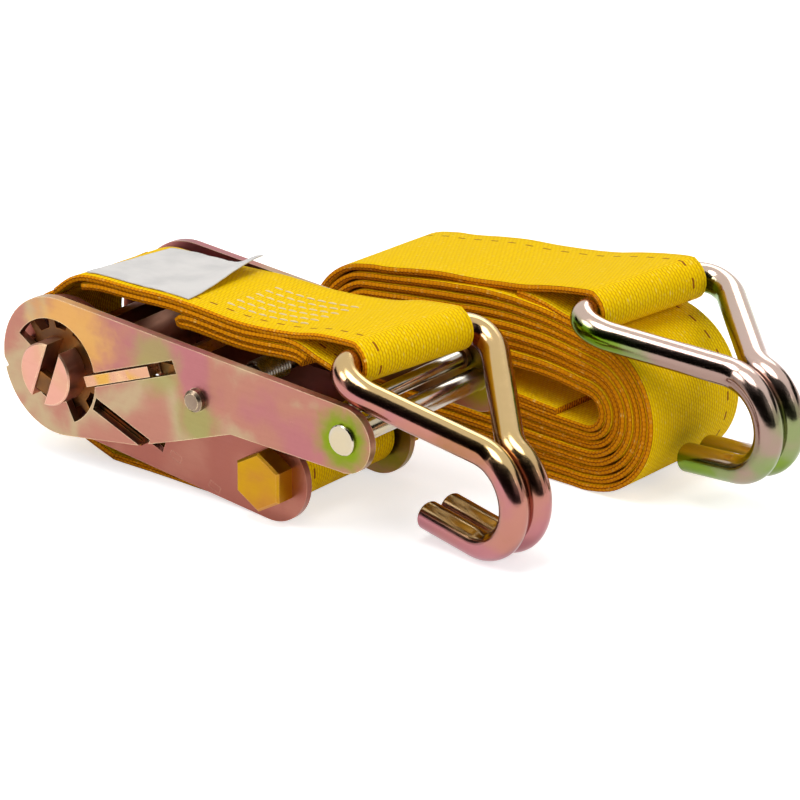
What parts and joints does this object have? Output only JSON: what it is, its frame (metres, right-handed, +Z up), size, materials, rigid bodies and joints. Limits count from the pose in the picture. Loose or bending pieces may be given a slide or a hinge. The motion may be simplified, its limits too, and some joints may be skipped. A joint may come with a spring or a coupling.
{
  "type": "ratchet tie down",
  "caption": "Ratchet buckle with a folding handle on a short hooked strap, and a rolled long strap with a double-J wire hook.",
  "frame": {"origin": "on the mandrel's axis, midway between the two frame plates", "axes": "+X from the mandrel towards the handle's grip, +Y along the mandrel towards the rolled strap, +Z up with the buckle lying closed"},
  "size_m": [0.2654, 0.1613, 0.0763],
  "materials": {
    "handle_zinc": "yellow zinc plating, pink and green sheen",
    "frame_zinc": "yellow zinc plating, pink sheen",
    "bolt_zinc": "yellow zinc plating, gold",
    "rod_steel": "bright, pale gold",
    "mandrel_zinc": "yellow zinc plating, pale pink",
    "spring_steel": "plain spring steel",
    "hook_zinc": "bright yellow zinc plating",
    "webbing": "woven polyester, yellow",
    "label": "woven label, off-white, bare"
  },
  "bodies": {
    "frame": {"frame_plate_near": "frame_zinc", "frame_plate_far": "frame_zinc", "frame_base": "frame_zinc", "anchor_bolt": "bolt_zinc", "anchor_nut": "bolt_zinc", "anchor_sleeve": "rod_steel", "lock_pawl_springs": "spring_steel", "short_strap_under": "webbing"},
    "handle": {"handle_plate_near": "handle_zinc", "handle_plate_far": "handle_zinc", "grip_rod": "rod_steel", "cross_pin": "rod_steel", "drive_pawl_spring": "spring_steel", "short_strap_turn": "webbing", "short_strap_top": "webbing", "short_strap_loop": "webbing", "label": "label"},
    "mandrel": {"mandrel_bar_front": "mandrel_zinc", "mandrel_bar_rear": "mandrel_zinc", "ratchet_wheel_near": "mandrel_zinc", "ratchet_wheel_far": "mandrel_zinc", "mandrel_clip_near": "mandrel_zinc", "mandrel_clip_far": "mandrel_zinc"},
    "drive_pawl": {"drive_pawl": "mandrel_zinc", "release_bar": "rod_steel", "release_link_near": "mandrel_zinc", "release_link_far": "mandrel_zinc"},
    "lock_pawl": {"lock_pawl": "frame_zinc"},
    "hook_a": {"hook_a": "hook_zinc"},
    "long_strap": {"long_strap_roll": "webbing", "long_strap_loop": "webbing"},
    "hook_b": {"hook_b": "hook_zinc"}
  },
  "joints": [
    {"name": "handle_hinge", "type": "hinge", "parent": "frame", "child": "handle", "pos_m": [0, 0, 0], "axis": [0, -1, 0], "range_deg": [0, 150], "deforming": ["short_strap_turn"]},
    {"name": "mandrel_spin", "type": "hinge", "parent": "frame", "child": "mandrel", "pos_m": [0, 0, 0], "axis": [0, 1, 0], "continuous": true},
    {"name": "drive_pawl_slide", "type": "slide", "parent": "handle", "child": "drive_pawl", "axis": [0.933, 0, 0.36], "range_m": [-0.003, 0.0025], "stiffness_N_per_m": 600, "deforming": ["drive_pawl_spring"]},
    {"name": "lock_pawl_slide", "type": "slide", "parent": "frame", "child": "lock_pawl", "axis": [0.9379, 0, -0.3469], "range_m": [-0.003, 0.006], "stiffness_N_per_m": 600, "deforming": ["lock_pawl_springs"]},
    {"name": "hook_a_swing", "type": "hinge", "parent": "handle", "child": "hook_a", "pos_m": [0.128, 0.001, 0.0306], "axis": [-0.1392, -0.9903, 0], "range_deg": [0, 110]},
    {"name": "long_strap_lift", "type": "slide", "parent": "frame", "child": "long_strap", "axis": [0, 0, 1], "range_m": [0, 0.12]},
    {"name": "hook_b_swing", "type": "hinge", "parent": "long_strap", "child": "hook_b", "pos_m": [0.1652, 0.0838, 0.0337], "axis": [-0.1392, -0.9903, 0], "range_deg": [0, 110]}
  ]
}
